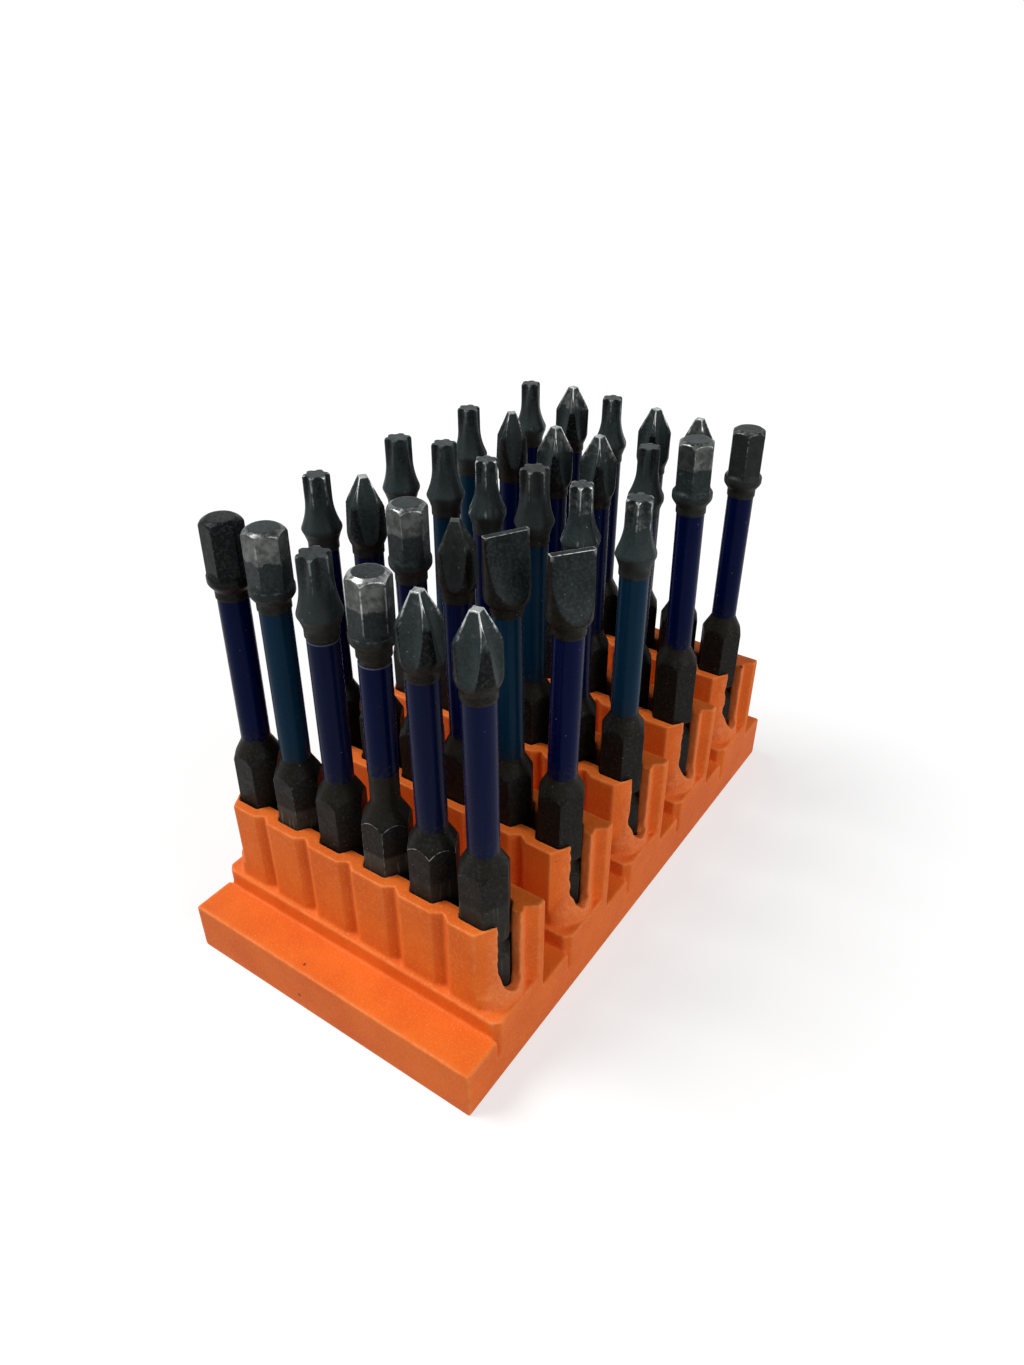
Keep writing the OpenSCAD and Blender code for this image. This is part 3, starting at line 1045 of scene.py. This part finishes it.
@dataclass
class Rack:
    """The printed block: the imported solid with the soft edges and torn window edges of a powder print.

    Sizes are in millimetres. A window starts at window_low, ends window_gap below the rim and starts
    window_out beyond the last socket's axis, and its middle is window_front in front of that axis.
    """

    stand: Stand
    node: str = "holder"
    voxel: float = 0.2
    smoothing: int = 9
    low_smoothing: int = 3
    low_top: float = 12.4
    triangles: int = 180000
    tear: float = 0.22
    tear_waves: tuple[tuple[float, float], ...] = ((0.8, 1.0), (2.7, 0.45))
    torn_reach: float = 3.2
    torn_and_sheen_reach: float = 4.6
    window_front: float = 1.0
    window_out: float = 2.2
    window_low: float = 11.3
    window_gap: float = 0.5
    ridge_slope: float = 0.12

    def build(self) -> bpy.types.Object:
        """Build the block."""
        bm = bmesh.new()
        bm.from_mesh(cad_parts[self.node].data)
        bmesh.ops.remove_doubles(bm, verts=bm.verts, dist=2e-6)
        raw = finish_mesh(bm, "raw_block")
        remesh = raw.modifiers.new("even", "REMESH")
        remesh.mode = "VOXEL"
        remesh.voxel_size = self.voxel * MM
        raw = self.baked(raw)
        self.torn(raw.data)
        low = raw.vertex_groups.new(name="low")
        low.add(self.low_points(raw.data), 1.0, "REPLACE")
        for passes, group in ((self.smoothing, ""), (self.low_smoothing, low.name)):
            smooth = raw.modifiers.new("soften", "SMOOTH")
            smooth.factor = 0.5
            smooth.iterations = passes
            smooth.vertex_group = group
        thin = raw.modifiers.new("thin", "DECIMATE")
        thin.ratio = self.triangles / (2 * len(raw.data.polygons))
        block = self.baked(raw)
        block.name = block.data.name = "printed_block"
        places = self.places(block.data)
        # Window surroundings are drawn paler: partly torn print, partly a painted sheen.
        self.store(block.data, "torn", self.window_share(places, self.torn_and_sheen_reach))
        # Outer edges are drawn paler: partly rubbed, partly a painted highlight.
        self.store(block.data, "worn", self.ridges(block.data, places))
        return block

    def store(self, mesh: bpy.types.Mesh, name: str, values: Array) -> None:
        """Store one value on each point of a mesh."""
        layer = mesh.attributes.new(name, "FLOAT", "POINT")
        layer.data.foreach_set("value", values.astype(np.float32))

    def ridges(self, mesh: bpy.types.Mesh, places: Array) -> Array:
        """Say how much each point stands out on an outer edge.

        Args:
            mesh: The mesh.
            places: Its points, in millimetres.

        Returns:
            One value for each point, from 0 on a flat face to 1 on an edge.
        """
        ends = self.listed(mesh.edges, "vertices", np.int32)
        normals = self.listed(mesh.vertices, "normal")
        height, count = np.zeros(len(places)), np.zeros(len(places))
        for near, far in ((0, 1), (1, 0)):
            step = places[ends[:, far]] - places[ends[:, near]]
            size = np.linalg.norm(step, axis=1) + 1e-6
            slope = (step * normals[ends[:, near]]).sum(1) / size
            np.add.at(height, ends[:, near], -slope)
            np.add.at(count, ends[:, near], 1.0)
        return np.clip(height / np.maximum(count, 1.0) / self.ridge_slope, 0.0, 1.0)

    def baked(self, piece: bpy.types.Object) -> bpy.types.Object:
        """Apply a piece's modifiers and put the result in its place."""
        graph = bpy.context.evaluated_depsgraph_get()
        mesh = bpy.data.meshes.new_from_object(piece.evaluated_get(graph))
        mesh.shade_smooth()
        obj = bpy.data.objects.new(piece.name, mesh)
        bpy.context.scene.collection.objects.link(obj)
        bpy.data.objects.remove(piece)
        return obj

    def low_points(self, mesh: bpy.types.Mesh) -> list[int]:
        """List the points of the slab and the decks, whose edges are rounder."""
        return np.nonzero(self.places(mesh)[:, 2] < self.low_top)[0].tolist()

    def places(self, mesh: bpy.types.Mesh) -> Array:
        """Give a mesh's points in millimetres."""
        return self.listed(mesh.vertices, "co") / MM

    def listed(self, items: bpy.types.bpy_prop_collection, name: str, kind: type = np.float32) -> Array:
        """List the vector or the pair of points that each of a mesh's items has."""
        width = 3 if kind is np.float32 else 2
        flat = np.empty(len(items) * width, kind)
        items.foreach_get(name, flat)
        return flat.reshape(-1, width)

    def window_share(self, places: Array, reach: float) -> Array:
        """Say how near each point is to the window at a row's end, from 0 to 1.

        Args:
            places: The points, in millimetres.
            reach: How far the window's surroundings go, in millimetres.

        Returns:
            One share for each point.
        """
        stand = self.stand
        first = stand.socket(1, stand.cols)
        row = np.clip(np.rint((places[:, 1] - first.y) / stand.row_pitch), 0, stand.rows - 1)
        across = np.abs(places[:, 1] - first.y - row * stand.row_pitch + self.window_front)
        out = np.abs(places[:, 0]) - first.x
        share = rise(reach, across, 1.2) * rise(out, self.window_out, 0.8)
        above = rise(places[:, 2], self.window_low, 0.6)
        below = rise(stand.rim - self.window_gap, places[:, 2], 0.6)
        return share * (above * below)

    def torn(self, mesh: bpy.types.Mesh) -> None:
        """Roughen the edges of the windows at the rows' ends."""
        places = self.places(mesh)
        share = self.window_share(places, self.torn_reach)
        for number in np.nonzero(share > 0.01)[0]:
            point = Vector(places[number].tolist())
            push = sum((noise.noise_vector(point * wave) * part for wave, part in self.tear_waves), Vector())
            places[number] += np.array(push) * self.tear * float(share[number])
        limit = self.stand.half_width
        np.clip(places[:, 0], -limit, limit, out=places[:, 0])
        mesh.vertices.foreach_set("co", (places * MM).ravel())


@dataclass(frozen=True)
class Lamp:
    """A soft lamp far away, which looks as wide as its width in degrees."""

    name: str
    towards: tuple[float, float, float]
    strength: float
    width: float

    def hang(self) -> None:
        """Put the lamp in the scene."""
        data = bpy.data.lights.new(self.name, "SUN")
        data.energy = self.strength
        data.angle = math.radians(self.width)
        lamp = bpy.data.objects.new(self.name, data)
        lamp.rotation_euler = Vector(self.towards).to_track_quat("Z", "Y").to_euler()
        bpy.context.scene.collection.objects.link(lamp)


@dataclass(frozen=True)
class Studio:
    """The floor, the lamps and the camera, with angles in degrees and places in metres.

    The focal length and the image's width are in the photograph's pixels. The sky dims to the zenith's
    share of its strength over the fade, and the floor's lift brings it to white in a picture.
    """

    azimuth: float = -34.548
    elevation: float = 33.507
    roll: float = -0.059
    eye: tuple[float, float, float] = (0.07267, -0.10565, 0.11858)
    focal: float = 943.76
    image_width: float = 1024.0
    sensor: float = 36.0
    nearest: float = 0.005
    sky: float = 0.47
    zenith: float = 0.35
    fade: tuple[float, float] = (0.2, 0.85)
    floor_size: float = 60.0
    floor_shade: float = 0.43
    floor_lift: float = 0.615
    lamps: tuple[Lamp, ...] = (
        Lamp("key", (-0.52, -0.28, 0.80), 2.4, 30.0),
        Lamp("fill", (0.90, -0.05, 0.45), 1.15, 40.0),
    )

    def seen(self, board: Board) -> Socket:
        """Say whether a ray comes from the camera, a gloss or a clear piece."""
        path = board.add("LightPath").outputs
        total = board.maths("MAXIMUM", path["Is Camera Ray"], path["Is Glossy Ray"])
        return board.maths("MAXIMUM", total, path["Is Transmission Ray"])

    def floor(self) -> None:
        """Lay the pale floor, which shows white where no shadow falls."""
        bm = bmesh.new()
        bmesh.ops.create_grid(bm, x_segments=1, y_segments=1, size=self.floor_size)
        floor = finish_mesh(bm, "floor", smooth=False)
        made = blank("pale_floor")
        board = Board(made.node_tree)
        board.surface(
            Base_Color=(self.floor_shade,) * 3,
            Roughness=0.9,
            Specular_IOR_Level=0.0,
            Emission_Color=(1.0, 1.0, 1.0),
            Emission_Strength=board.maths("MULTIPLY", self.seen(board), self.floor_lift),
        )
        floor.data.materials.append(made)

    def world(self) -> None:
        """Light the scene from all round, and show white where nothing stands."""
        world = bpy.data.worlds.new("studio")
        world.use_nodes = True
        board = Board(world.node_tree)
        strength = board.ramp(self.seen(board), 0.0, 1.0, self.sky, 1.0, kind="LINEAR")
        parts = board.add("SeparateXYZ")
        board.fill(parts, Vector=board.add("TexCoord").outputs["Generated"])
        dim = board.ramp(parts.outputs["Z"], *self.fade, 1.0, self.zenith, kind="LINEAR")
        shaded = board.maths("MULTIPLY", strength, dim)
        direct = board.add("LightPath").outputs["Is Camera Ray"]
        shown = board.maths("MAXIMUM", shaded, direct)
        board.fill(world.node_tree.nodes["Background"], Color=(1.0, 1.0, 1.0), Strength=shown)
        bpy.context.scene.world = world

    def camera(self) -> None:
        """Set the camera where the photograph was taken."""
        data = bpy.data.cameras.new("photograph")
        data.sensor_fit = "HORIZONTAL"
        data.sensor_width = self.sensor
        data.lens = self.sensor * self.focal / self.image_width
        data.clip_start = self.nearest
        camera = bpy.data.objects.new("photograph", data)
        turn, tilt = math.radians(self.azimuth), math.radians(self.elevation)
        ahead = Vector((math.cos(tilt) * math.sin(turn), math.cos(tilt) * math.cos(turn), -math.sin(tilt)))
        aim = ahead.to_track_quat("-Z", "Y").to_matrix() @ Matrix.Rotation(math.radians(self.roll), 3, "Z")
        camera.rotation_euler = aim.to_euler()
        camera.location = self.eye
        bpy.context.scene.collection.objects.link(camera)
        bpy.context.scene.camera = camera

    def build(self) -> None:
        """Set up everything round the object."""
        self.floor()
        self.world()
        for lamp in self.lamps:
            lamp.hang()
        self.camera()
        bpy.context.scene.view_settings.view_transform = "Standard"


def dress(piece: bpy.types.Object, material: bpy.types.Material) -> None:
    """Give a piece its finish and its place among the bodies.

    Args:
        piece: The piece.
        material: Its finish.
    """
    piece.data.materials.clear()
    piece.data.materials.append(material)
    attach(piece, "root")
    LOG.info("%s: %d faces", piece.name, len(piece.data.polygons))


def build_bits(stand: Stand) -> None:
    """Build every bit and put it in its socket.

    Args:
        stand: Where the sockets are.
    """
    steel = BlackenedSteel().material()
    coats = {
        Sleeve.NAVY: SleeveCoat("navy_coat", linear(1, 11, 52), linear(5, 18, 66)).material(),
        Sleeve.TEAL: SleeveCoat("teal_coat", linear(7, 40, 62), linear(14, 52, 76)).material(),
        Sleeve.DUSK: SleeveCoat("dusk_coat", linear(10, 18, 52), linear(20, 29, 66)).material(),
    }
    for row, bits in enumerate(BITS, start=1):
        for col, spec in enumerate(bits, start=1):
            kind = spec.head.value
            node = f"{kind}_bit_row{row}_{col}"
            bit = DriverBit(node, spec, Matrix())
            bit.pose = stand.pose(row, col, spec, bit.corner)
            body = bit.steel()
            dress(body, steel)
            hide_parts(node)
            dress(bit.sleeve(), coats[spec.sleeve])


def main() -> None:
    """Build the whole scene."""
    logging.basicConfig(level=logging.INFO, format="%(name)s %(message)s")
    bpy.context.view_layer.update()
    stand = Stand()
    rack = Rack(stand)
    block = rack.build()
    dress(block, PrintedPlastic().material())
    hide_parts(rack.node)
    build_bits(stand)
    Studio().build()


if __name__ == "__main__":
    main()
